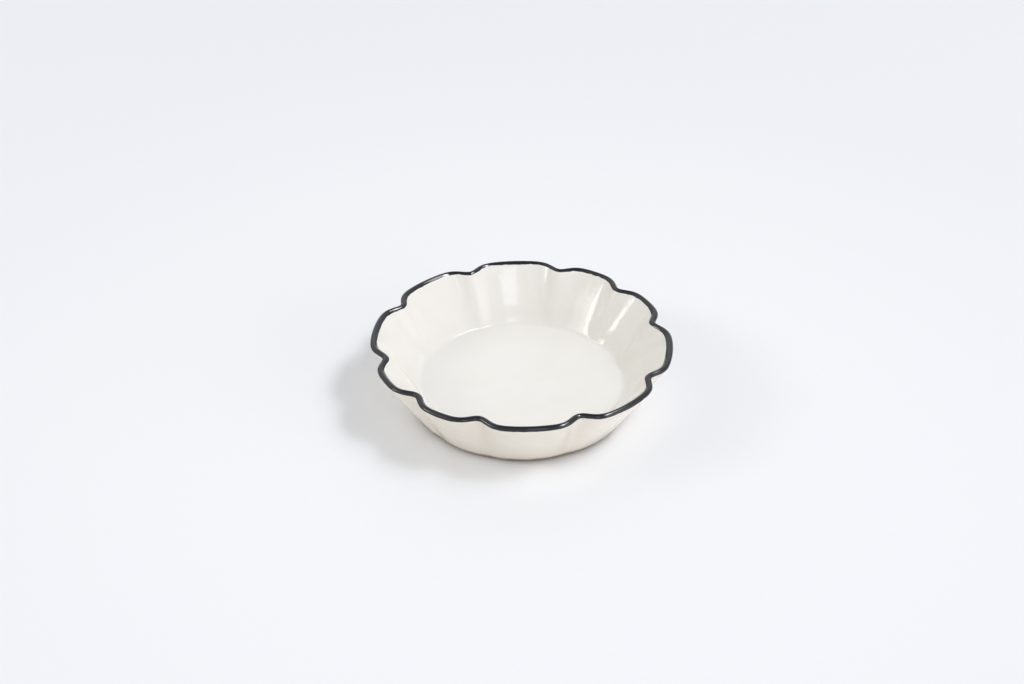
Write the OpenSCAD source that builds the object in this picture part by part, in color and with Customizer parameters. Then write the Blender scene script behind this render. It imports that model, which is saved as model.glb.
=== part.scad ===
// Petal-rimmed soy sauce dish: a glazed stoneware saucer with a flat round floor,
// a fluted wall, ten petals round the lip and a dark band of glaze over the lip.
// The dish stands on the plane z = 0 with its axis on z. Sizes are in millimetres.

/* [Rim] */
// Diameter over the lip, from the middle of one wide petal to the opposite one
dish_d = 106; // [94:0.5:118]
// Height of the top of the lip above the table
dish_h = 25; // [22:0.5:29]
// Thickness of the half-round lip, glaze included
lip_t = 2.2; // [1.8:0.1:2.8]

/* [Petals] */
// Depth of the notch between two petals at the lip
notch_depth = 3.7; // [2.5:0.1:4.4]
// Width of a notch at half its depth
notch_w = 8; // [7:0.1:9]
// Angle that each of the four narrow petals takes, in degrees
narrow_petal_angle = 30; // [28:0.5:36]
// Depth of the notches at the foot of the wall, where they run out
foot_notch_depth = 0.4; // [0:0.05:0.5]

/* [Floor and base] */
// Height of the floor above the table
floor_h = 6.7; // [6:0.1:8]
// Radius of the curve from the floor into the wall
floor_fillet_r = 2.2; // [1.4:0.1:4]
// Diameter at which the line of the outer wall meets the underside
base_d = 76.4; // [70:0.2:82]
// How far the corner between the floor and the inner wall lies inside that circle
floor_inset = 1.9; // [1.2:0.1:3.2]
// Radius of the turn from the outer wall into the underside
base_edge_r = 0.9; // [0.8:0.1:1.2]
// Depth of the hollow under the floor, counted from the seat of the foot ring
base_hollow = 2; // [1:0.1:2.6]

/* [Foot ring] */
// How far the foot ring stands back from the rounded edge of the base
foot_inset = 0.3; // [0.3:0.05:0.8]
// Width of the foot ring
foot_w = 3.2; // [2.4:0.1:4]
// Height of bare foot ring that shows below the glaze
foot_h = 0.5; // [0.4:0.1:1.2]
// Radius on the two lower edges of the foot ring
foot_edge_r = 0.25; // [0.1:0.05:0.4]

/* [Glaze] */
// Thickness of the glaze
glaze_t = 0.35; // [0.2:0.05:0.45]
// Share of the curve from the lip's widest point to the outer wall that the dark band covers
band_reach_share = 0.4; // [0.1:0.05:0.8]

/* [Hidden] */

// Steps round each petal, and along each curve and straight of the wall. The lip's are
// counted from the inner wall to its top, to its widest point and to the end of the band.
petal_steps = 12;
fillet_steps = 3;
inner_wall_steps = 2;
outer_wall_steps = 2;
lip_steps = [2, 3, 1];
base_edge_steps = 2;
small_edge_steps = 4;
$fn = 120;

// How strongly the columns of points crowd towards the notches
crowding_share = 0.55;
// Gap between the end of a glaze and the foot ring beside it
seam_gap = 0.05;

// Centre of the half-round lip, in the section through the middle of a petal
lip_r = lip_t / 2;
lip_centre = [dish_d / 2 - lip_r, dish_h - lip_r];

// Angles of the ten notches: one at each end of the short axis, and the rest
// spaced by the narrow and the wide petals on either side of it
wide_petal_angle = (180 - 2 * narrow_petal_angle) / 3;
notch_angles = [for (end = [90, 270], off = [-narrow_petal_angle - wide_petal_angle,
    -narrow_petal_angle, 0, narrow_petal_angle, narrow_petal_angle + wide_petal_angle]) end + off];

// Half width, in degrees, at which the bell curve of a notch has fallen to 1/e
notch_spread = notch_w / 2 / sqrt(ln(2)) / lip_centre[0] * 180 / PI;

// Share of the notch depth that is left at the foot of the wall
foot_notch_share = foot_notch_depth / notch_depth;

// Leans of the two faces of the wall from the level, each running to a tangent of the lip
floor_corner = [base_d / 2 - floor_inset, floor_h];
base_corner = [base_d / 2, foot_h];
inner_lean = lean(floor_corner, 1);
outer_lean = lean(base_corner, -1);

// Centres of the curves at the foot of the inner wall and of the outer wall
fillet_centre = floor_corner + floor_fillet_r * [-tan(inner_lean / 2), 1];
edge_centre = base_corner + base_edge_r * [-tan(outer_lean / 2), 1];

// Foot ring, its seat and the clay above the hollow under the floor
foot_r = edge_centre[0] - foot_inset;
foot_inner_r = foot_r - foot_w;
seat_z = foot_h + glaze_t;
hollow_z = seat_z + base_hollow;

function lean(corner, side) = let (run = lip_centre - corner)
    atan2(run[1], run[0]) + side * asin(lip_r / norm(run));
function polar(r, a) = r * [cos(a), sin(a)];
function mix(a, b, share) = a + (b - a) * share;
function shares(steps) = [for (i = [0:steps]) i / steps];
function total(v) = v * [for (x = v) 1];
function tail(v) = [for (i = [1:len(v) - 1]) v[i]];
function arc(centre, r, from, to, steps) = [for (s = shares(steps)) centre + polar(r, mix(from, to, s))];

// Dip of the lip at an angle, 1 in the middle of a notch, and its slope per radian
function off_notch(a, notch) = a - notch - 360 * round((a - notch) / 360);
function bell(off) = exp(-pow(off / notch_spread, 2));
function bell_slope(off) = -2 * off / pow(notch_spread, 2) * bell(off) * 180 / PI;
function dip(a) = total([for (notch = notch_angles) bell(off_notch(a, notch))]);
function dip_slope(a) = total([for (notch = notch_angles) bell_slope(off_notch(a, notch))]);

// Columns of points round the dish, each as its angle, dip and slope, crowded at the notches
function crowded(s) = s - crowding_share * sin(360 * s) / (2 * PI);
function petal_span(i) = let (last = len(notch_angles) - 1)
    i < last ? notch_angles[i + 1] - notch_angles[i] : notch_angles[0] + 360 - notch_angles[last];
column_angles = [for (i = [0:len(notch_angles) - 1], k = [0:petal_steps - 1])
    notch_angles[i] + petal_span(i) * crowded(k / petal_steps)];
columns = [for (a = column_angles) [a, dip(a), dip_slope(a)]];
n = len(columns);

// Polygon radius whose sides clear a circle of radius r
widest_step = wide_petal_angle * (crowded(0.5) - crowded(0.5 - 1 / petal_steps));
function around(r) = r / cos(widest_step / 2);

// A profile point is [outline radius, share of the notch depth, offset, height, angle of the normal].
// The outline is a circle dented by the notches; the offset is taken square to it,
// so that the lip and the glaze keep their thickness all the way round.
function inset(profile, t) = [for (p = profile) p - t * [0, 0, cos(p[4]), sin(p[4]), 0]];
function ring(p) = [for (c = columns) let (
    r = p[0] - notch_depth * p[1] * c[1],
    slope = -notch_depth * p[1] * c[2],
    normal = [r * cos(c[0]) + slope * sin(c[0]), r * sin(c[0]) - slope * cos(c[0])] / norm([r, slope]),
    at = polar(r, c[0]) + p[2] * normal
    ) [at[0], at[1], p[3]]];

// Point of a wall face, on a straight line from its faintly notched foot to the lip
function wall(foot, a, share) = let (end = polar(lip_r, a))
    [mix(foot[0], lip_centre[0], share), mix(foot_notch_share, 1, share), share * end[0],
    mix(foot[1], lip_centre[1] + end[1], share), a];

// Point of the half-round lip whose normal has angle a
function lip(a) = let (at = polar(lip_r, a)) [lip_centre[0], 1, at[0], lip_centre[1] + at[1], a];

// Point of the bend between the level and the foot of the wall, where the notches run out. The
// normal turns from flat to steep; side is 1 on an outer bend and -1 on an inner one.
function bend(centre, r, side, flat, steep, share) = let (
    a = mix(flat, steep, share),
    at = centre + side * polar(r, a)
    ) [at[0], foot_notch_share * share, 0, at[1], a];

// Glazed faces, from the middle of the floor over the lip to the foot ring
inner_wall_foot = fillet_centre + polar(floor_fillet_r, inner_lean - 90);
outer_wall_foot = edge_centre + polar(base_edge_r, outer_lean - 90);
band_end = (outer_lean - 90) * band_reach_share;
lip_stops = [90 + inner_lean, 90, 0, band_end];
lip_angles = concat([lip_stops[0]],
    [for (i = [0:len(lip_steps) - 1], s = tail(shares(lip_steps[i]))) mix(lip_stops[i], lip_stops[i + 1], s)]);

inner_face = concat(
    [for (s = shares(fillet_steps)) bend(fillet_centre, floor_fillet_r, -1, 90, 90 + inner_lean, s)],
    [for (s = tail(shares(inner_wall_steps))) wall(inner_wall_foot, 90 + inner_lean, s)]);
lip_face = [for (a = lip_angles) lip(a)];
outer_face = concat(
    [lip(band_end)],
    [for (s = shares(outer_wall_steps)) wall(outer_wall_foot, outer_lean - 90, 1 - s)],
    [for (s = tail(shares(base_edge_steps)))
        bend(edge_centre, base_edge_r, 1, -90, outer_lean - 90, 1 - s)],
    [[around(foot_r + seam_gap), 0, 0, foot_h, -90]]);

// Triangles between rings i and k; on a back face the diagonals lean the other way,
// so that a glaze and the clay under it meet triangle for triangle
function band(i, k, back) = [for (c = [0:n - 1]) let (d = (c + 1) % n)
    each back ? [[i * n + c, i * n + d, k * n + c], [i * n + d, k * n + d, k * n + c]]
        : [[i * n + c, i * n + d, k * n + d], [i * n + c, k * n + d, k * n + c]]];
function disc(i, down) = [for (c = [0:n - 1]) i * n + (down ? c : n - 1 - c)];

// Solid through a run of rings: closed by a disc at both ends, or by joining the ends
module loft(profile, turn, discs) {
    last = len(profile) - 1;
    polyhedron(
        points = [for (p = profile) each ring(p)],
        faces = concat(
            [for (i = [0:last - 1]) each band(i, i + 1, i > turn)],
            discs ? [disc(0, false), disc(last, true)] : band(last, 0, true)));
}

// Glaze of even thickness behind a face
module glaze(face, discs = false) {
    back = inset(face, glaze_t);
    loft(concat(face, [for (i = [len(back) - 1:-1:0]) back[i]]), len(face) - 1, discs);
}

// Body of the dish: floor, fluted wall and the clay core of the lip
module clay_body() {
    glazed = inset(concat(inner_face, tail(lip_face), tail(outer_face)), glaze_t);
    hollow_r = around(foot_inner_r);
    hollow = [[hollow_r, 0, 0, seat_z, -90], [hollow_r, 0, 0, hollow_z, -90]];
    color("#d8c7a9") loft(concat(glazed, hollow), len(glazed) + len(hollow), true);
}

// Bare ring that the dish stands on, joined to the flat underside
module foot_ring() {
    color("#b79a78") rotate_extrude() polygon(concat(
        [[foot_inner_r, seat_z]],
        arc([foot_inner_r + foot_edge_r, foot_edge_r], foot_edge_r, 180, 270, small_edge_steps),
        arc([foot_r - foot_edge_r, foot_edge_r], foot_edge_r, 270, 360, small_edge_steps),
        [[foot_r, seat_z]]));
}

// Cream glaze of the floor and the inner wall, up to the dark band
module inner_glaze() color("#efece2") glaze(inner_face, discs = true);

// Cream glaze of the outer wall, from the dark band round the edge of the base
module outer_glaze() color("#e2ddd1") glaze(outer_face);

// Cream glaze in the hollow inside the foot ring, with a soft inner corner
module base_glaze() {
    skin_z = hollow_z - glaze_t;
    skin_r = foot_inner_r - glaze_t;
    color("#e6e1d5") rotate_extrude() polygon(concat(
        [[0, hollow_z], [0, skin_z]],
        arc([skin_r - glaze_t, skin_z - glaze_t], glaze_t, 90, 0, small_edge_steps),
        [[skin_r, seat_z], [foot_inner_r, seat_z], [foot_inner_r, hollow_z]]));
}

// Dark glaze brushed over the lip and a little way down the outside
module rim_band() color("#33353b") glaze(lip_face);

clay_body();
foot_ring();
inner_glaze();
outer_glaze();
base_glaze();
rim_band();
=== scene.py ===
"""Petal-rimmed soy sauce dish on a pale table: a stoneware body under cream glaze, with a dark
glaze band over the lip and a bare foot ring. Every piece is lofted round the dish from the same
outline as the solids it stands for, so that each glaze lies on the clay under it. The dish is
worked out in millimetres and turned into metres when a mesh is made. The camera, the table and
the lamps are in metres."""

import math

import bpy
import numpy as np
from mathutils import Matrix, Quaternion, Vector


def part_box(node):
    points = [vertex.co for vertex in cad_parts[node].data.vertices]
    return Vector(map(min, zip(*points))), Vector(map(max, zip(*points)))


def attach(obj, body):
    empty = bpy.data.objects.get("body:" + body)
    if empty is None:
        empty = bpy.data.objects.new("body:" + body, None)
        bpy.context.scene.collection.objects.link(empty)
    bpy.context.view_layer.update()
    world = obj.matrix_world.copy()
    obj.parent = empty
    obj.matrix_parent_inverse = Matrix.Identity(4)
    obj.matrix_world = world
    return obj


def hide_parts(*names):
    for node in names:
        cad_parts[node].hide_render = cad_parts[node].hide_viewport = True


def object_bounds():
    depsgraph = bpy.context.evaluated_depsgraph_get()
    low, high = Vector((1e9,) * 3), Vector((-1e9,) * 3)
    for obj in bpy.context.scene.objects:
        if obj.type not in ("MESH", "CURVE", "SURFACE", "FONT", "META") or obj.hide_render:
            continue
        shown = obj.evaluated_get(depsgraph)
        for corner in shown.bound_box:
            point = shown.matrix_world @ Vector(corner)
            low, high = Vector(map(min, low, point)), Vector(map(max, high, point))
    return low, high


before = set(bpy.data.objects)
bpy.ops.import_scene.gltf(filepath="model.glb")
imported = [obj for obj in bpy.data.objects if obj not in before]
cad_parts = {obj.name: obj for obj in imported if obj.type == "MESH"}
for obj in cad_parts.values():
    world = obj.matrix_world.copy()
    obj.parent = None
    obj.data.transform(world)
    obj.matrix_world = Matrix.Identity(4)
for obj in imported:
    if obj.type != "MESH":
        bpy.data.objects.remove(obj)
cad_low, cad_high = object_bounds()
MM = 0.001


def top_of(node):
    """Highest corner of a solid, in millimetres."""
    return np.array(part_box(node)[1]) / MM


def bottom_of(node):
    """Lowest corner of a solid, in millimetres."""
    return np.array(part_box(node)[0]) / MM


# Outline of the dish
DISH_R = cad_high.x / MM
DISH_H = cad_high.z / MM
GLAZE_T = 0.35
LIP_R = 1.1
LIP_CENTRE = np.array([DISH_R - LIP_R, DISH_H - LIP_R])
NOTCH_DEPTH = 3.7
NOTCH_HALF_W = 4.0
NARROW_PETAL = 30.0
WIDE_PETAL = (180 - 2 * NARROW_PETAL) / 3
NOTCH_SPREAD = math.degrees(NOTCH_HALF_W / math.sqrt(math.log(2)) / LIP_CENTRE[0])
NOTCHES = np.array([
    end + off
    for end in (90, 270)
    for off in (-NARROW_PETAL - WIDE_PETAL, -NARROW_PETAL, 0, NARROW_PETAL, NARROW_PETAL + WIDE_PETAL)
])

# Floor, base and foot ring
FLOOR_FILLET_R = 2.2
BASE_R = 38.2
FLOOR_INSET = 1.9
BASE_EDGE_R = 0.9
FOOT_NOTCH_DEPTH = 0.4
FOOT_NOTCH_SHARE = FOOT_NOTCH_DEPTH / NOTCH_DEPTH
FLOOR_H = bottom_of("inner_glaze")[2] + GLAZE_T
FOOT_H = bottom_of("outer_glaze")[2]
SEAT_Z = top_of("foot_ring")[2]
FOOT_R = top_of("foot_ring")[0]
HOLLOW_Z = top_of("base_glaze")[2]
HOLLOW_R = top_of("base_glaze")[0]
FOOT_EDGE_R = 0.25
SEAM_GAP = 0.05

# How far each petal stands out from the even outline at the lip, from the one on +X round
PETAL_REACH = [0.7, 0.1, -0.4, -0.1, -0.3, -0.2, 0.0, 0.3, -0.3, -0.2]
PETAL_BLEND = 20.0
PETAL_RISE_POWER = 1.5

# The rim is not quite level: it rises towards one side and waves three times round the dish.
# The floor stays level, and the rise begins at this share of the radius of the base.
RIM_RISE = 0.12
RIM_HIGH_SIDE = math.radians(-43)
RIM_WAVE = 0.05
RIM_WAVES = 3
RIM_WAVE_TURN = 0.9
RIM_RISE_START = 0.4

# The inner wall swells towards the middle of the dish by this much half way up, as it flares
WALL_SWELL = 0.30

# Glaze pools in the corner between floor and wall
POOL_DEPTH = 0.12
POOL_REACH = 2.0

# The dark band covers this share of the turn from the lip's widest point to the outer wall. It
# runs down the inner wall too, by more at the camera's right and left than in front and behind.
# Its outer edge ends a little short.
BAND_REACH_SHARE = 0.4
BAND_RUN_IN = 0.65
BAND_RUN_SWING = 0.2
BAND_END_SHORT = 0.08

# The band stands proud of the cream glaze. From each edge it rises over its shoulder, and at
# the very edge it dives under the cream and looks thin.
BAND_PROUD = 0.05
BAND_SHOULDER = 0.27
BAND_DIVE = 0.03
BAND_DIVE_REACH = 0.08
BAND_THIN_REACH = 0.23

# The lip is flatter on its inner and outer shoulder. Each flat is a shallow dent in the glaze,
# given by its way over the lip, its depth and its reach.
LIP_FLATS = [(0.20, 0.11, 0.52), (1.72, 0.07, 0.45)]

# The cream glaze runs on over the lip by these degrees and sinks away below the band. Outside,
# the stations whose normals lie below the last angle are the underside, which has no waves.
INNER_OVERLAP = 25
INNER_SINK = 0.22
INNER_SINK_START = 0.12
INNER_SINK_REACH = 0.2
OUTER_OVERLAP = 22
OUTER_SINK = 0.08
OUTER_SINK_DEGREES = 18
UNDERSIDE_DEGREES = -89

# Uneven surfaces and wandering edges, each a list of height, wavelength and seed
INSIDE_WAVES = [(0.016, 6.0, 3), (0.006, 2.4, 4)]
OUTSIDE_WAVES = [(0.016, 6.0, 5), (0.006, 2.4, 6)]
BASE_WAVES = [(0.03, 7.0, 8)]
FOOT_WAVES = [(0.03, 5.0, 11)]
BAND_START_WAVES = [(0.10, 9.0, 21), (0.06, 2.5, 22)]
BAND_END_WAVES = [(0.11, 11.0, 23), (0.05, 2.5, 24)]
BARE_AND_SHADE_WAVES = [(0.12, 6.0, 31)]

# Radius round the middle of the dish in which the waves fade out
CALM_R = 4

# Where the cream looks thin inside: on the ridges between the petals, from this share of the notch
# depth on. The inner wall is also painted a little darker and warmer once it is this high above the
# floor: painted shade, carried on the same mark as the thin glaze.
RIDGE_THIN = 0.1
RIDGE_START = 0.45
RIDGE_REACH = 0.5
WALL_PAINTED_SHADE = 0.16
WALL_PAINTED_SHADE_H = 4

# Low on the outside the cream turns darker and warmer towards the foot, by this share over this height.
# Then the height to which the very foot is painted clay brown: partly the clay showing through, partly
# painted contact shade.
LOW_DARKENING = 0.45
LOW_DARKENING_H = 4.0
LOW_DARKENING_POWER = 1.5
BARE_AND_SHADE_H = 1.5
BARE_AND_SHADE_FADE = 1.4

# The glaze on the side of the hollow looks thinner by this much. Two heights in the hollow
# count as the same within the tolerance.
HOLLOW_THIN = 0.5
SAME_HEIGHT = 0.01

# Columns of the mesh round the dish, and how strongly they crowd towards the notches
COLUMNS_PER_PETAL = 72
CROWDING = 0.45

# Rings of the mesh along each stretch of the section. The innermost ring lies at this share of
# the radius, round a fan of triangles.
FAN_SHARE = 0.03
FLOOR_RINGS = 22
FLOOR_CROWDING = 0.8
FILLET_RINGS = 14
INNER_WALL_RINGS = 40
UPPER_WALL_SHARE = 0.9
UPPER_WALL_RINGS = 12
OVERLAP_RINGS = 4
LIP_RINGS = 18
OUTER_LIP_RINGS = 12
OUTER_WALL_RINGS = 44
ARC_RINGS = 8
UNDERSIDE_RINGS = 2
FOOT_RINGS = 6
HOLLOW_RINGS = 20
BAND_RINGS = 48
BAND_BACK_RINGS = 10
HIDDEN_RING_STEP = 3
HOLLOW_FAN_SHARE = 0.5
SHARP_DEGREES = 50

# Camera. A bearing is counted in degrees from the camera's right, over the far side, so 0 is
# right, 90 is away from the camera, 180 is left and 270 is the camera's side.
CAMERA_AZIMUTH = 47.03
CAMERA_ELEVATION = 34.31
CAMERA_DISTANCE = 0.6379
CAMERA_LENS = 63.98
CAMERA_SENSOR = 36.0
CAMERA_CLIP = (0.05, 20.0)
AIM_RIGHT, AIM_AWAY, AIM_UP = -0.00334, -0.00119, 0.0243
TABLE_SIZE = 6.0

# Lamps: name, bearing, elevation and distance, width and height, brightness of the face, its
# colour, and the degrees by which its top leans towards larger bearings. They are a wide key
# light at the right with a bright core, a window at the left that fades out in three parts, and
# a small window in front. All of them show as glints in the glaze.
LAMPS = [
    ("key_softbox", -12, 55.5, 4.0, 2.08, 1.0, 6.3, (1.0, 0.995, 0.98), 0),
    ("key_core", -19, 57, 4.0, 0.69, 0.56, 15.3, (0.89, 0.93, 1.0), 0),
    ("left_window", -174, 30, 1.8, 0.48, 0.31, 6.0, (1, 1, 1), 0),
    ("left_window_middle", -163, 34, 1.8, 0.30, 0.31, 2.8, (1, 1, 1), 0),
    ("left_window_end", -153, 38, 1.8, 0.30, 0.31, 1.3, (1, 1, 1), 0),
    ("front_window", -78, 48.5, 1.8, 0.34, 0.30, 3.1, (0.80, 0.90, 1.0), 25),
]

# Soft light of the room: brightness by the sine of the elevation, and wide glows over it, each
# with its bearing, elevation, radius in degrees and colour
ROOM_BRIGHTNESS = [(0.0, 0.19), (0.2, 0.63), (0.4, 0.60), (0.62, 0.73), (0.85, 0.57), (1.0, 0.09)]
ROOM_TINT = (1.0, 0.99, 1.02)
GLOWS = [
    (-30, 3, 36, (1.75, 1.75, 1.78)),
    (180, 22, 50, (0.26, 0.25, 0.16)),
    (92, 34, 52, (0.24, 0.25, 0.25)),
]


# Columns of the mesh round the dish


def column_angles():
    """Angles round the dish, in degrees, crowded towards the notches."""
    shares = np.arange(COLUMNS_PER_PETAL) / COLUMNS_PER_PETAL
    crowded = shares - CROWDING * np.sin(2 * math.pi * shares) / (2 * math.pi)
    ends = np.append(NOTCHES[1:], NOTCHES[0] + 360)
    return np.concatenate([a + (b - a) * crowded for a, b in zip(NOTCHES, ends)])


def dips(angles):
    """Depth of the notches at these angles, from 0 to 1, and its slope per radian."""
    off = angles[:, None] - NOTCHES
    off -= 360 * np.round(off / 360)
    bells = np.exp(-((off / NOTCH_SPREAD) ** 2))
    slopes = -2 * off / NOTCH_SPREAD**2 * bells * math.degrees(1)
    return bells.sum(1), slopes.sum(1)


ANGLES = column_angles()
DIP, DIP_SLOPE = dips(ANGLES)
COS, SIN = np.cos(np.radians(ANGLES)), np.sin(np.radians(ANGLES))


def smooth_step(x):
    """0 below 0, 1 above 1 and smooth between."""
    x = np.clip(x, 0, 1)
    return x * x * (3 - 2 * x)


def ripple(points, wavelength, seed, waves=26):
    """A smooth random field of about that wavelength in millimetres, mostly between -1 and 1."""
    rng = np.random.default_rng(seed)
    directions = rng.normal(size=(waves, 3))
    directions /= np.linalg.norm(directions, axis=1)[:, None]
    lengths = wavelength * rng.uniform(0.7, 1.5, waves)
    phases = rng.uniform(0, 2 * math.pi, waves)
    field = np.zeros(points.shape[:-1])
    for direction, length, phase in zip(directions, lengths, phases):
        field += np.cos(points @ direction * (2 * math.pi / length) + phase)
    return field / math.sqrt(waves)


def ripples(points, waves):
    """Sum of smooth random fields, each given by its height, its wavelength and its seed."""
    return sum(height * ripple(points, wavelength, seed) for height, wavelength, seed in waves)


# Section of the wall. A station is [outline radius, share of the notch depth, offset, height,
# angle of the normal], as in the solids: the offset is taken square to the dented outline.


def polar(radius, degrees):
    """Point at that radius and angle."""
    turn = math.radians(degrees)
    return radius * np.array([math.cos(turn), math.sin(turn)])


def steps(start, end, count):
    """Evenly spaced values from start to end, in that many steps."""
    return np.linspace(start, end, count + 1)


def wall_lean(corner, side):
    """Lean from the level of a wall that starts at this corner and touches the lip."""
    run = LIP_CENTRE - corner
    return math.degrees(math.atan2(run[1], run[0]) + side * math.asin(LIP_R / np.linalg.norm(run)))


def bend_centre(corner, radius, degrees):
    """Centre of the bend that rounds the corner below a wall of that lean."""
    return corner + radius * np.array([-math.tan(math.radians(degrees / 2)), 1])


def bend(centre, radius, side, degrees, flat, steep):
    """A bend between a level face and the foot of a wall, where the flutes begin."""
    at = centre + side * polar(radius, degrees)
    share = FOOT_NOTCH_SHARE * (degrees - flat) / (steep - flat)
    return [at[0], share, 0, at[1], degrees]


def wall(foot, degrees, share):
    """The straight run of a wall, from its foot at share 0 to the lip at share 1."""
    end = polar(LIP_R, degrees)
    return [
        foot[0] + (LIP_CENTRE[0] - foot[0]) * share,
        FOOT_NOTCH_SHARE + (1 - FOOT_NOTCH_SHARE) * share,
        share * end[0],
        foot[1] + (LIP_CENTRE[1] + end[1] - foot[1]) * share,
        degrees,
    ]


def swollen(station, share):
    """A station of the inner wall, raised along its normal by the wall's slight swell."""
    height = WALL_SWELL * 4 * share * (1 - share)
    return np.array(station) + height * np.array([0, 0, *polar(1, station[4]), 0])


def lip(degrees):
    """A station on the half-round lip."""
    at = polar(LIP_R, degrees)
    return [LIP_CENTRE[0], 1, at[0], LIP_CENTRE[1] + at[1], degrees]


FLOOR_CORNER = np.array([BASE_R - FLOOR_INSET, FLOOR_H])
BASE_CORNER = np.array([BASE_R, FOOT_H])
INNER_LEAN = wall_lean(FLOOR_CORNER, 1)
OUTER_LEAN = wall_lean(BASE_CORNER, -1)
INNER_WALL_DEGREES = 90 + INNER_LEAN
OUTER_WALL_DEGREES = OUTER_LEAN - 90
FILLET_CENTRE = bend_centre(FLOOR_CORNER, FLOOR_FILLET_R, INNER_LEAN)
EDGE_CENTRE = bend_centre(BASE_CORNER, BASE_EDGE_R, OUTER_LEAN)
INNER_FOOT = FILLET_CENTRE + polar(FLOOR_FILLET_R, INNER_LEAN - 90)
OUTER_FOOT = EDGE_CENTRE + polar(BASE_EDGE_R, OUTER_WALL_DEGREES)
OUTER_BAND_END = OUTER_WALL_DEGREES * BAND_REACH_SHARE
OVER_BAND = math.radians(INNER_WALL_DEGREES - OUTER_BAND_END) * LIP_R
INNER_RUN = LIP_CENTRE + polar(LIP_R, INNER_WALL_DEGREES) - INNER_FOOT
INNER_WALL = np.linalg.norm(INNER_RUN)


def inner_stations(overlap=0):
    """From beside the middle of the floor up the inner wall, and on over the lip by an overlap
    in degrees."""
    radii = FILLET_CENTRE[0] * np.linspace(FAN_SHARE, 1, FLOOR_RINGS)[:-1] ** FLOOR_CROWDING
    floor = [[r, 0, 0, FLOOR_H, 90] for r in radii]
    turns = steps(90, INNER_WALL_DEGREES, FILLET_RINGS)
    fillet = [bend(FILLET_CENTRE, FLOOR_FILLET_R, -1, a, 90, INNER_WALL_DEGREES) for a in turns]
    lower = steps(0, UPPER_WALL_SHARE, INNER_WALL_RINGS)[1:]
    upper = steps(UPPER_WALL_SHARE, 1, UPPER_WALL_RINGS)[1:]
    rise = [swollen(wall(INNER_FOOT, INNER_WALL_DEGREES, s), s) for s in np.append(lower, upper)]
    turns = steps(INNER_WALL_DEGREES, INNER_WALL_DEGREES - overlap, OVERLAP_RINGS)[1:]
    over = [lip(a) for a in turns] if overlap else []
    return np.array(floor + fillet + rise + over)


def lip_stations():
    """Over the lip, from the inner wall to the outer edge of the band."""
    return np.array([lip(a) for a in steps(INNER_WALL_DEGREES, OUTER_BAND_END, LIP_RINGS)[1:]])


def outer_stations(overlap=0):
    """From over the lip by an overlap in degrees, down the outer wall and round under its edge."""
    turns = steps(OUTER_BAND_END + overlap, OUTER_WALL_DEGREES, OUTER_LIP_RINGS)
    over = [lip(a) for a in turns]
    fall = [wall(OUTER_FOOT, OUTER_WALL_DEGREES, s) for s in steps(1, 0, OUTER_WALL_RINGS)[1:]]
    turns = steps(OUTER_WALL_DEGREES, -90, ARC_RINGS)[1:]
    edge = [bend(EDGE_CENTRE, BASE_EDGE_R, 1, a, -90, OUTER_WALL_DEGREES) for a in turns]
    radii = steps(EDGE_CENTRE[0], FOOT_R + SEAM_GAP, UNDERSIDE_RINGS)[1:]
    under = [[r, 0, 0, FOOT_H, -90] for r in radii]
    return np.array(over + fall + edge + under)


def lathe(section):
    """Stations of a round piece, from its points [radius, height]."""
    return np.array([[r, 0, 0, z, 90] for r, z in section])


def arc(centre, radius, start, end):
    """Points of a section along an arc."""
    return [np.array(centre) + polar(radius, a) for a in steps(start, end, ARC_RINGS)]


def place(stations, lift=0.0):
    """Points round the dish for each station, moved by lift millimetres along the normals."""
    return set_round(*stations.T[:, :, None], lift)


def set_round(radius, share, offset, height, degrees, lift):
    """Points at the columns of the mesh. Each value is one for a ring or one for each column."""
    turn = np.radians(degrees)
    reach = offset + lift * np.cos(turn)
    r = radius - NOTCH_DEPTH * share * DIP
    slope = -NOTCH_DEPTH * share * DIP_SLOPE
    length = np.sqrt(r**2 + slope**2)
    x = r * COS + reach * (r * COS + slope * SIN) / length
    y = r * SIN + reach * (r * SIN - slope * COS) / length
    z = np.broadcast_to(height + lift * np.sin(turn), x.shape)
    return np.stack([x, y, z], axis=-1)


def from_axis(points):
    """Distance of points from the middle axis of the dish."""
    return np.hypot(points[..., 0], points[..., 1])


def petal_reach(degrees):
    """How far the lip stands out at these angles, blended from petal to petal."""
    middles = np.append(NOTCHES[1:], NOTCHES[0] + 360) / 2 + NOTCHES / 2
    first = np.argmin(np.abs((middles + 180) % 360 - 180))
    off = degrees[..., None] - np.roll(middles, -first)
    off -= 360 * np.round(off / 360)
    weights = np.exp(-((off / PETAL_BLEND) ** 2))
    return (weights * np.array(PETAL_REACH)).sum(-1) / weights.sum(-1)


def hand_made(points):
    """The small unevenness that all the pieces share: petals that stand out a little more or
    less, and a rim that is not quite level."""
    up = np.clip(points[..., 2] / DISH_H, 0, 1)
    radius = from_axis(points)
    turn = np.arctan2(points[..., 1], points[..., 0])
    outwards = up**PETAL_RISE_POWER * smooth_step(radius / BASE_R)
    factor = 1 + petal_reach(np.degrees(turn)) * outwards / np.maximum(radius, 1)
    moved = points * np.stack([factor, factor, np.ones_like(factor)], axis=-1)
    wave = RIM_WAVE * np.cos(RIM_WAVES * turn + RIM_WAVE_TURN)
    rise = RIM_RISE * np.cos(turn - RIM_HIGH_SIDE) + wave
    moved[..., 2] += rise * up**2 * smooth_step(radius / BASE_R - RIM_RISE_START)
    return moved


# Meshes


def volume(points, quads):
    """Six times the volume inside these faces; its sign tells whether they face outwards."""
    a, b, c, d = (points[quads[:, i]] for i in range(4))
    return (np.cross(a, b) * c).sum() + (np.cross(a, c) * d).sum()


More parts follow.
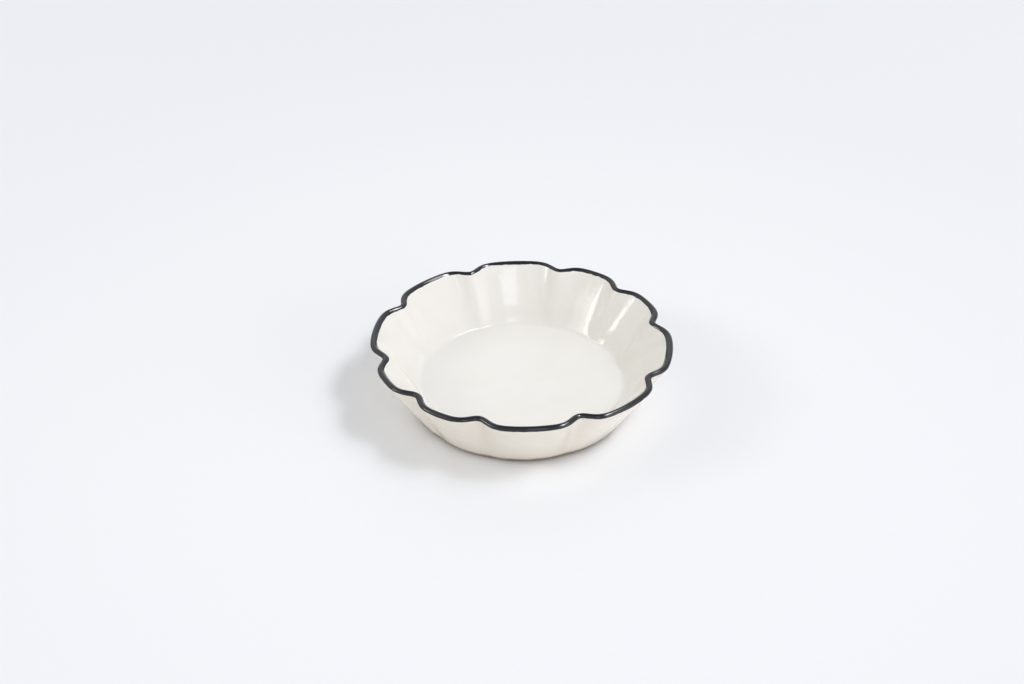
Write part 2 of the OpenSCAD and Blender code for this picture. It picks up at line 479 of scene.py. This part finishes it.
def joined(rings, middle, loop):
    """Points and faces of a skin through these rings. middle closes both ends with a fan to a
    middle point, and loop joins the last ring to the first."""
    rows, columns = rings.shape[:2]
    points = rings.reshape(-1, 3)
    index = np.arange(rows * columns).reshape(rows, columns)
    after = np.roll(index, -1, axis=1)
    pairs = [(i, (i + 1) % rows) for i in range(rows if loop else rows - 1)]
    quads = np.concatenate([
        np.stack([index[i], after[i], after[k], index[k]], axis=1)
        for i, k in pairs
    ])
    triangles = np.empty((0, 3), int)
    if middle:
        first = len(points)
        points = np.concatenate([points, rings[[0, -1]].mean(axis=1)])
        triangles = np.concatenate([
            np.stack([after[0], index[0], np.full(columns, first)], axis=1),
            np.stack([index[-1], after[-1], np.full(columns, first + 1)], axis=1),
        ])
    if volume(points, quads) < 0:
        quads, triangles = quads[:, ::-1], triangles[:, ::-1]
    return points, quads.tolist() + triangles.tolist()


def make_piece(name, rings, material, node, middle=False, loop=False, marks=None):
    """A piece from rings of points in millimetres. marks are values kept on its points."""
    points, faces = joined(hand_made(rings), middle, loop)
    mesh = bpy.data.meshes.new(name)
    mesh.from_pydata(points * MM, [], faces)
    for mark_name, values in (marks or {}).items():
        values = np.append(values.reshape(-1), [values[0].mean(), values[-1].mean()])
        layer = mesh.attributes.new(mark_name, "FLOAT", "POINT")
        layer.data.foreach_set("value", values[: len(points)].astype(np.float32))
    mesh.polygons.foreach_set("use_smooth", np.ones(len(mesh.polygons), bool))
    mesh.set_sharp_from_angle(angle=math.radians(SHARP_DEGREES))
    mesh.materials.append(material)
    piece = bpy.data.objects.new(name, mesh)
    bpy.context.scene.collection.objects.link(piece)
    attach(piece, "root")
    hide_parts(node)


def thinned(stations):
    """Only some of the stations, for faces that lie hidden under another piece."""
    kept = np.arange(0, len(stations), HIDDEN_RING_STEP)
    return stations[np.unique(np.append(kept, len(stations) - 1))]


def shell(face, lift):
    """Rings of a glaze: its face with lift added, then the back that lies on the clay."""
    return np.concatenate([place(face, lift), place(thinned(face), -GLAZE_T)[::-1]])


def along(values):
    """One value for each ring, held all the way round."""
    return np.repeat(np.asarray(values, float)[:, None], len(ANGLES), axis=1)


def face_mark(rings, values):
    """Values on the first rings of a shell, which are its face, and 0 on the hidden back."""
    marked = np.zeros(rings.shape[:2])
    marked[: len(values)] = values
    return marked


# Nodes of the materials. Most of a noise lies in its middle range.
NOISE_MIDDLE = (0.3, 0.7)
PEEL_SIZE = 0.5


def srgb(red, green, blue):
    """Linear colour of 8-bit screen values."""
    share = np.array([red, green, blue]) / 255
    linear = np.where(share <= 0.04045, share / 12.92, ((share + 0.055) / 1.055) ** 2.4)
    return (*linear, 1.0)


def feed(tree, node, sockets):
    """Put values or links on the inputs of a node."""
    for key, value in sockets.items():
        if isinstance(value, bpy.types.NodeSocket):
            tree.links.new(value, node.inputs[key])
        else:
            node.inputs[key].default_value = value


def add(tree, kind, sockets=None, **settings):
    """A new node with these settings and these values or links on its inputs."""
    node = tree.nodes.new(kind)
    for name, value in settings.items():
        setattr(node, name, value)
    feed(tree, node, sockets or {})
    return node


def new_material(name):
    """A material, its node tree and its shader."""
    material = bpy.data.materials.new(name)
    material.use_nodes = True
    tree = material.node_tree
    return material, tree, tree.nodes["Principled BSDF"]


def noise(tree, size, detail=2.0, roughness=0.5):
    """Noise with features of about that size in millimetres, from 0 to 1."""
    sockets = {
        "Vector": add(tree, "ShaderNodeTexCoord").outputs["Object"],
        "Scale": 1 / (size * MM),
        "Detail": detail,
        "Roughness": roughness,
    }
    return add(tree, "ShaderNodeTexNoise", sockets).outputs["Fac"]


def to_range(tree, value, low, high, new_low=0.0, new_high=1.0, smooth=False):
    """A value moved from one range into another, and held inside it."""
    sockets = {"Value": value, "From Min": low, "From Max": high, "To Min": new_low, "To Max": new_high}
    kind = "SMOOTHSTEP" if smooth else "LINEAR"
    return add(tree, "ShaderNodeMapRange", sockets, interpolation_type=kind).outputs["Result"]


def patches(tree, size, detail=3.0, roughness=0.5, low=0.0, high=1.0):
    """Noise whose middle range is stretched to run from low to high."""
    return to_range(tree, noise(tree, size, detail, roughness), *NOISE_MIDDLE, low, high)


def product(tree, first, second):
    """Two values multiplied, and held between 0 and 1."""
    sockets = {0: first, 1: second}
    return add(tree, "ShaderNodeMath", sockets, operation="MULTIPLY", use_clamp=True).outputs["Value"]


def blend_colours(tree, share, first, second):
    """The first colour where the share is 0 and the second where it is 1."""
    sockets = {"Factor": share, "A": first, "B": second}
    return add(tree, "ShaderNodeMix", sockets, data_type="RGBA").outputs["Result"]


def mark(tree, name):
    """A value kept on the points of the mesh."""
    return add(tree, "ShaderNodeAttribute", attribute_name=name).outputs["Fac"]


def bump(tree, height, depth, below=None):
    """Normal of a surface with relief of that depth in millimetres."""
    sockets = {"Height": height, "Distance": depth * MM, "Strength": 1.0}
    if below is not None:
        sockets["Normal"] = below
    return add(tree, "ShaderNodeBump", sockets).outputs["Normal"]


def glaze_relief(tree, wave_size, wave_depth, peel_depth):
    """Broad low waves of a glaze, with a fine peel over them."""
    waves = bump(tree, noise(tree, wave_size), wave_depth)
    return bump(tree, noise(tree, PEEL_SIZE), peel_depth, waves)


# Materials. The colours of a cream glaze are its own, the one where the thin mark is high, and the one
# of its random patches. The thin colour also stands for painted shade on the inner wall and for the
# darker, warmer foot outside.
CREAM_INSIDE = [srgb(239, 237, 232), srgb(224, 220, 208), srgb(237, 235, 229)]
CREAM_OUTSIDE = [srgb(243, 236, 224), srgb(224, 204, 174), srgb(241, 233, 219)]
CREAM_BASE = [srgb(236, 232, 221), srgb(208, 190, 160), srgb(230, 225, 213)]
# Clay brown for the very foot of the outer glaze: partly the clay showing through, partly painted
# contact shade, darker than the bare clay itself.
CLAY_EDGE_AND_SHADE = srgb(142, 120, 92)
CHARCOAL, CHARCOAL_LIGHT, CHARCOAL_THIN = srgb(19, 22, 28), srgb(26, 30, 37), srgb(112, 100, 84)
BUFF, BUFF_DARK = srgb(160, 128, 92), srgb(138, 106, 72)
CLAY_GRAIN, IRON_SPECK = srgb(122, 92, 62), srgb(70, 52, 40)
# The table is painted lighter near the dish and darker away from it, a painted falloff of light; the
# grain colour is its own.
TABLE_PAINTED_LIGHT_NEAR, TABLE_PAINTED_FALLOFF_FAR, TABLE_GRAIN = srgb(240, 242, 245), srgb(235, 237, 241), srgb(200, 204, 210)


def cream_glaze(name, cream, thin, shade):
    """Glossy cream glaze, mottled a little, warmer where the thin mark is high, and clay brown where
    the foot-edge mark is high. The thin mark is thin glaze on the inner ridges, painted shade on the
    inner wall and a darker, warmer foot outside; the clay brown at the foot edge is partly the clay
    showing through and partly painted contact shade."""
    material, tree, shader = new_material(name)
    body = blend_colours(tree, patches(tree, size=9.0), cream, shade)
    flow = noise(tree, size=1.2, detail=4.0, roughness=0.6)
    flow = to_range(tree, flow, low=0.35, high=0.75, new_low=0.75, new_high=1.2)
    glazed = blend_colours(tree, product(tree, mark(tree, "thin"), flow), body, thin)
    # The foot edge turns clay brown, partly painted contact shade.
    feed(tree, shader, {
        "Base Color": blend_colours(tree, mark(tree, "bare"), glazed, CLAY_EDGE_AND_SHADE),
        "Roughness": patches(tree, size=4.0, low=0.07, high=0.13),
        "IOR": 1.5,
        "Normal": glaze_relief(tree, wave_size=2.6, wave_depth=0.012, peel_depth=0.0012),
    })
    return material


def dark_glaze():
    """Glossy charcoal glaze of the band, browner where it runs out over the cream."""
    material, tree, shader = new_material("dark_band_glaze")
    mottle = patches(tree, size=1.5, detail=4.0, roughness=0.6)
    body = blend_colours(tree, mottle, CHARCOAL, CHARCOAL_LIGHT)
    brushed = patches(tree, size=0.8, low=0.8, high=1.25)
    thinness = product(tree, mark(tree, "thin"), brushed)
    feed(tree, shader, {
        "Base Color": blend_colours(tree, thinness, body, CHARCOAL_THIN),
        "Roughness": patches(tree, size=2.0, low=0.03, high=0.08),
        "IOR": 1.6,
        "Normal": glaze_relief(tree, wave_size=2.4, wave_depth=0.010, peel_depth=0.0008),
    })
    return material


def bare_clay(name):
    """Fired stoneware without glaze: warm buff, with fine grain and iron specks."""
    material, tree, shader = new_material(name)
    body = blend_colours(tree, patches(tree, size=6.0, detail=4.0), BUFF, BUFF_DARK)
    grain = noise(tree, size=0.35, detail=5.0, roughness=0.7)
    grainy = blend_colours(tree, to_range(tree, grain, low=0.25, high=0.8), body, CLAY_GRAIN)
    specks = to_range(tree, noise(tree, size=0.7, detail=1.0), low=0.70, high=0.76)
    pores = noise(tree, size=0.25, detail=5.0, roughness=0.7)
    feed(tree, shader, {
        "Base Color": blend_colours(tree, specks, grainy, IRON_SPECK),
        "Roughness": patches(tree, size=0.8, detail=4.0, low=0.65, high=0.85),
        "Normal": bump(tree, pores, depth=0.03),
    })
    return material


def paper():
    """The pale table: nearly even, with a painted falloff of light that leaves it a little darker away
    from the dish.
    """
    material, tree, shader = new_material("table_paper")
    place_at = add(tree, "ShaderNodeTexCoord").outputs["Object"]
    away = add(tree, "ShaderNodeVectorMath", {0: place_at}, operation="LENGTH").outputs["Value"]
    # Painted falloff of light: darker away from the dish.
    light_falloff_share = to_range(tree, away, low=0.08, high=0.30, smooth=True)
    painted_light_tone = blend_colours(tree, light_falloff_share, TABLE_PAINTED_LIGHT_NEAR, TABLE_PAINTED_FALLOFF_FAR)
    feed(tree, shader, {
        "Base Color": blend_colours(tree, patches(tree, size=3.0, high=0.012), painted_light_tone, TABLE_GRAIN),
        "Roughness": 0.9,
        "Specular IOR Level": 0.2,
        "Normal": bump(tree, noise(tree, size=0.6, detail=3.0), depth=0.02),
    })
    return material


# Pieces


def make_clay_body():
    """The clay under the glazes: the whole section, set back by the thickness of a glaze."""
    face = np.concatenate([inner_stations(), lip_stations(), outer_stations()[1:]])
    skin = place(thinned(face), -GLAZE_T)
    fan_r = HOLLOW_R * HOLLOW_FAN_SHARE
    hollow = place(lathe([[HOLLOW_R, SEAT_Z], [HOLLOW_R, HOLLOW_Z], [fan_r, HOLLOW_Z]]))
    rings = np.concatenate([skin, hollow])
    make_piece("dish_clay_core", rings, bare_clay("clay_core"), "clay_body", middle=True)


def make_foot_ring():
    """The ring has rounded lower edges, which are a little worn."""
    edge = FOOT_EDGE_R
    section = [[HOLLOW_R, SEAT_Z], [HOLLOW_R, (SEAT_Z + edge) / 2]]
    section += arc([HOLLOW_R + edge, edge], edge, 180, 270)
    section += [[r, 0] for r in steps(HOLLOW_R + edge, FOOT_R - edge, FOOT_RINGS)[1:-1]]
    section += arc([FOOT_R - edge, edge], edge, 270, 360)
    section += [[FOOT_R, (SEAT_Z + edge) / 2], [FOOT_R, SEAT_Z]]
    rings = place(lathe(section))
    worn = ripples(rings, FOOT_WAVES) * smooth_step(rings[..., 2] / edge)
    rings[..., :2] *= (1 - np.abs(worn) / from_axis(rings))[..., None]
    make_piece("foot_ring_bare", rings, bare_clay("bare_foot"), "foot_ring", loop=True)


def make_inner_glaze():
    """Cream glaze of the floor and the inner wall, pooled in the corner and sunk below the band."""
    face = inner_stations(INNER_OVERLAP)
    points = place(face)
    share = face[:, 1:2]
    from_corner = np.hypot(*(face[:, [0, 3]] - FLOOR_CORNER).T)
    pooled = along(POOL_DEPTH * np.exp(-((from_corner / POOL_REACH) ** 2)))
    below_lip = (1 - share) / (1 - FOOT_NOTCH_SHARE) * INNER_WALL
    inside_band = -band_start() - INNER_SINK_START - below_lip
    sunk = smooth_step(inside_band / INNER_SINK_REACH)
    lift = (ripples(points, INSIDE_WAVES) + pooled) * (1 - sunk) - INNER_SINK * sunk
    lift *= smooth_step(from_axis(points) / CALM_R)
    rings = shell(face, lift)
    ridge = smooth_step((share - RIDGE_START) / RIDGE_REACH) * DIP
    # The ridges look thin; the wall above the floor gets painted shade on the same mark.
    wall_shade_share = smooth_step((face[:, 3:4] - FLOOR_H) / WALL_PAINTED_SHADE_H)
    thin = face_mark(rings, RIDGE_THIN * ridge + WALL_PAINTED_SHADE * wall_shade_share)
    material = cream_glaze("cream_glaze_inside", *CREAM_INSIDE)
    make_piece(
        "inner_cream_glaze", rings, material, "inner_glaze",
        middle=True, marks={"thin": thin},
    )


def make_outer_glaze():
    """Cream glaze of the outer wall, darker and warmer low down, and clay brown at its very foot:
    partly the clay showing through, partly painted contact shade.
    """
    face = outer_stations(OUTER_OVERLAP)
    points = place(face)
    degrees = face[:, 4]
    sunk = along(smooth_step((degrees - OUTER_BAND_END) / OUTER_SINK_DEGREES))
    above_underside = along(degrees > UNDERSIDE_DEGREES)
    lift = ripples(points, OUTSIDE_WAVES) * (1 - sunk) * above_underside - OUTER_SINK * sunk
    rings = shell(face, lift)
    below_foot = OUTER_FOOT[1] - points[..., 2]
    # Darker and warmer towards the foot.
    low = smooth_step((below_foot + LOW_DARKENING_H) / LOW_DARKENING_H)
    thin = face_mark(rings, LOW_DARKENING * low**LOW_DARKENING_POWER)
    # The very foot is clay brown: partly the clay showing through, partly painted contact shade.
    bare_edge = ripples(points, BARE_AND_SHADE_WAVES) + BARE_AND_SHADE_H + below_foot
    bare = face_mark(rings, smooth_step(bare_edge / BARE_AND_SHADE_FADE))
    material = cream_glaze("cream_glaze_outside", *CREAM_OUTSIDE)
    make_piece(
        "outer_cream_glaze", rings, material, "outer_glaze",
        loop=True, marks={"thin": thin, "bare": bare},
    )


def make_base_glaze():
    """Cream glaze in the hollow inside the foot ring."""
    skin_z, skin_r = HOLLOW_Z - GLAZE_T, HOLLOW_R - GLAZE_T
    level_r = skin_r - 2 * GLAZE_T
    section = [[r, skin_z] for r in level_r * np.linspace(FAN_SHARE, 1, HOLLOW_RINGS)]
    section += arc([skin_r - GLAZE_T, skin_z - GLAZE_T], GLAZE_T, 90, 0)
    section += [[skin_r, SEAT_Z], [HOLLOW_R, SEAT_Z], [HOLLOW_R, HOLLOW_Z]]
    section += [[HOLLOW_R * HOLLOW_FAN_SHARE, HOLLOW_Z]]
    rings = place(lathe(section))
    level = np.abs(rings[..., 2] - skin_z) < SAME_HEIGHT
    rings[..., 2] += ripples(rings, BASE_WAVES) * level * smooth_step(from_axis(rings) / CALM_R)
    thin = along((rings[:, 0, 2] < skin_z - SAME_HEIGHT) * HOLLOW_THIN)
    material = cream_glaze("cream_glaze_base", *CREAM_BASE)
    make_piece(
        "base_cream_glaze", rings, material, "base_glaze",
        middle=True, marks={"thin": thin},
    )


def over_lip(travel):
    """Station values over the lip, by the way in millimetres from where the inner wall meets it.
    Below 0 they run down the inner wall."""
    down = np.minimum(travel, 0) / INNER_WALL
    degrees = INNER_WALL_DEGREES - np.degrees(np.maximum(travel, 0) / LIP_R)
    turn = np.radians(degrees)
    return (
        LIP_CENTRE[0] + (LIP_CENTRE[0] - INNER_FOOT[0]) * down,
        1 + (1 - FOOT_NOTCH_SHARE) * down,
        LIP_R * np.cos(turn) * (1 + down),
        LIP_CENTRE[1] + LIP_R * np.sin(turn) + INNER_RUN[1] * down,
        degrees,
    )


def lip_top():
    """The line along the top of the lip."""
    return place(np.array([lip(90)]))[0]


def band_start():
    """Where the band's inner edge lies for each column, by the way over the lip."""
    swing = BAND_RUN_SWING * np.cos(2 * np.radians(ANGLES - CAMERA_AZIMUTH))
    return -BAND_RUN_IN - swing + ripples(lip_top(), BAND_START_WAVES)


def band_edges(share):
    """How proud the band lies, and how thin it looks, at this share of its width."""
    edge = min(share, 1 - share) * (OVER_BAND + BAND_RUN_IN)
    dive = BAND_DIVE * (1 - smooth_step(edge / BAND_DIVE_REACH))
    proud = BAND_PROUD * smooth_step(edge / BAND_SHOULDER)
    return proud - dive, 1 - smooth_step(edge / BAND_THIN_REACH)


def make_rim_band():
    """The band lies on the cream glaze, and its edges run out unevenly and dive under it."""
    start = band_start()
    width = OVER_BAND - BAND_END_SHORT + ripples(lip_top(), BAND_END_WAVES) - start
    rings, thin = [], []
    for share in steps(0, 1, BAND_RINGS):
        travel = start + width * share
        proud, thinness = band_edges(share)
        dent = sum(depth * np.exp(-(((travel - at) / reach) ** 2)) for at, depth, reach in LIP_FLATS)
        rings.append(set_round(*over_lip(travel), proud - dent))
        thin.append(thinness)
    for share in steps(1, 0, BAND_BACK_RINGS):
        rings.append(set_round(*over_lip(start + width * share), -GLAZE_T))
        thin.append(0)
    make_piece(
        "rim_dark_band", np.array(rings), dark_glaze(), "rim_band",
        loop=True, marks={"thin": along(thin)},
    )


# Camera, table and light


def ray(bearing, elevation):
    """Unit direction with that bearing and elevation."""
    turn, up = math.radians(CAMERA_AZIMUTH + bearing), math.radians(elevation)
    return Vector((math.cos(turn) * math.cos(up), math.sin(turn) * math.cos(up), math.sin(up)))


def make_camera():
    data = bpy.data.cameras.new("camera")
    data.lens = CAMERA_LENS
    data.sensor_width = CAMERA_SENSOR
    data.clip_start, data.clip_end = CAMERA_CLIP
    camera = bpy.data.objects.new("camera", data)
    aim = AIM_RIGHT * ray(0, 0) + AIM_AWAY * ray(90, 0) + Vector((0, 0, AIM_UP))
    back = ray(270, CAMERA_ELEVATION)
    camera.location = aim + CAMERA_DISTANCE * back
    camera.rotation_mode = "QUATERNION"
    camera.rotation_quaternion = (-back).to_track_quat("-Z", "Y")
    bpy.context.scene.collection.objects.link(camera)
    bpy.context.scene.camera = camera


def make_table():
    half = TABLE_SIZE / 2
    corners = [(-half, -half, 0), (half, -half, 0), (half, half, 0), (-half, half, 0)]
    mesh = bpy.data.meshes.new("table")
    mesh.from_pydata(corners, [], [(0, 1, 2, 3)])
    mesh.materials.append(paper())
    table = bpy.data.objects.new("table", mesh)
    bpy.context.scene.collection.objects.link(table)


def make_lamp(name, bearing, elevation, distance, width, height, radiance, colour, lean):
    """A rectangular lamp that faces the dish. The camera doesn't see it itself."""
    data = bpy.data.lights.new(name, "AREA")
    data.shape = "RECTANGLE"
    data.size, data.size_y = width, height
    data.energy = radiance * math.pi * width * height
    data.color = colour
    lamp = bpy.data.objects.new(name, data)
    lamp.location = distance * ray(bearing, elevation)
    lamp.rotation_mode = "QUATERNION"
    roll = Quaternion((0, 0, 1), math.radians(-lean))
    lamp.rotation_quaternion = ray(bearing, elevation).to_track_quat("Z", "Y") @ roll
    lamp.visible_camera = False
    bpy.context.scene.collection.objects.link(lamp)


def room_light(tree, direction):
    """Light of the room by its height, on a ramp that starts with stops at 0 and 1."""
    up = add(tree, "ShaderNodeSeparateXYZ", {"Vector": direction}).outputs["Z"]
    ramp = add(tree, "ShaderNodeValToRGB", {"Fac": up})
    stops = ramp.color_ramp.elements
    for height, _ in ROOM_BRIGHTNESS[1:-1]:
        stops.new(height)
    for stop, (_, brightness) in zip(stops, ROOM_BRIGHTNESS):
        stop.color = (*(brightness * np.array(ROOM_TINT)), 1.0)
    return ramp.outputs["Color"]


def glow_light(tree, direction, bearing, elevation, radius, colour):
    """A wide soft glow round one direction."""
    sockets = {0: direction, 1: ray(bearing, elevation)}
    near = add(tree, "ShaderNodeVectorMath", sockets, operation="DOT_PRODUCT").outputs["Value"]
    share = to_range(tree, near, math.cos(math.radians(radius)), 1.0, smooth=True)
    sockets = {0: colour, 3: share}
    return add(tree, "ShaderNodeVectorMath", sockets, operation="SCALE").outputs["Vector"]


def make_world():
    """Soft light from all round, dark overhead, with wide glows low at the front right, at the
    left and behind the dish."""
    world = bpy.data.worlds.new("studio")
    world.use_nodes = True
    tree = world.node_tree
    direction = add(tree, "ShaderNodeTexCoord").outputs["Generated"]
    light = room_light(tree, direction)
    for glow in GLOWS:
        sockets = {0: light, 1: glow_light(tree, direction, *glow)}
        light = add(tree, "ShaderNodeVectorMath", sockets, operation="ADD").outputs["Vector"]
    tree.links.new(light, tree.nodes["Background"].inputs["Color"])
    bpy.context.scene.world = world


make_camera()
make_table()
for lamp in LAMPS:
    make_lamp(*lamp)
make_world()
make_clay_body()
make_foot_ring()
make_inner_glaze()
make_outer_glaze()
make_base_glaze()
make_rim_band()
bpy.context.scene.view_settings.view_transform = "Standard"
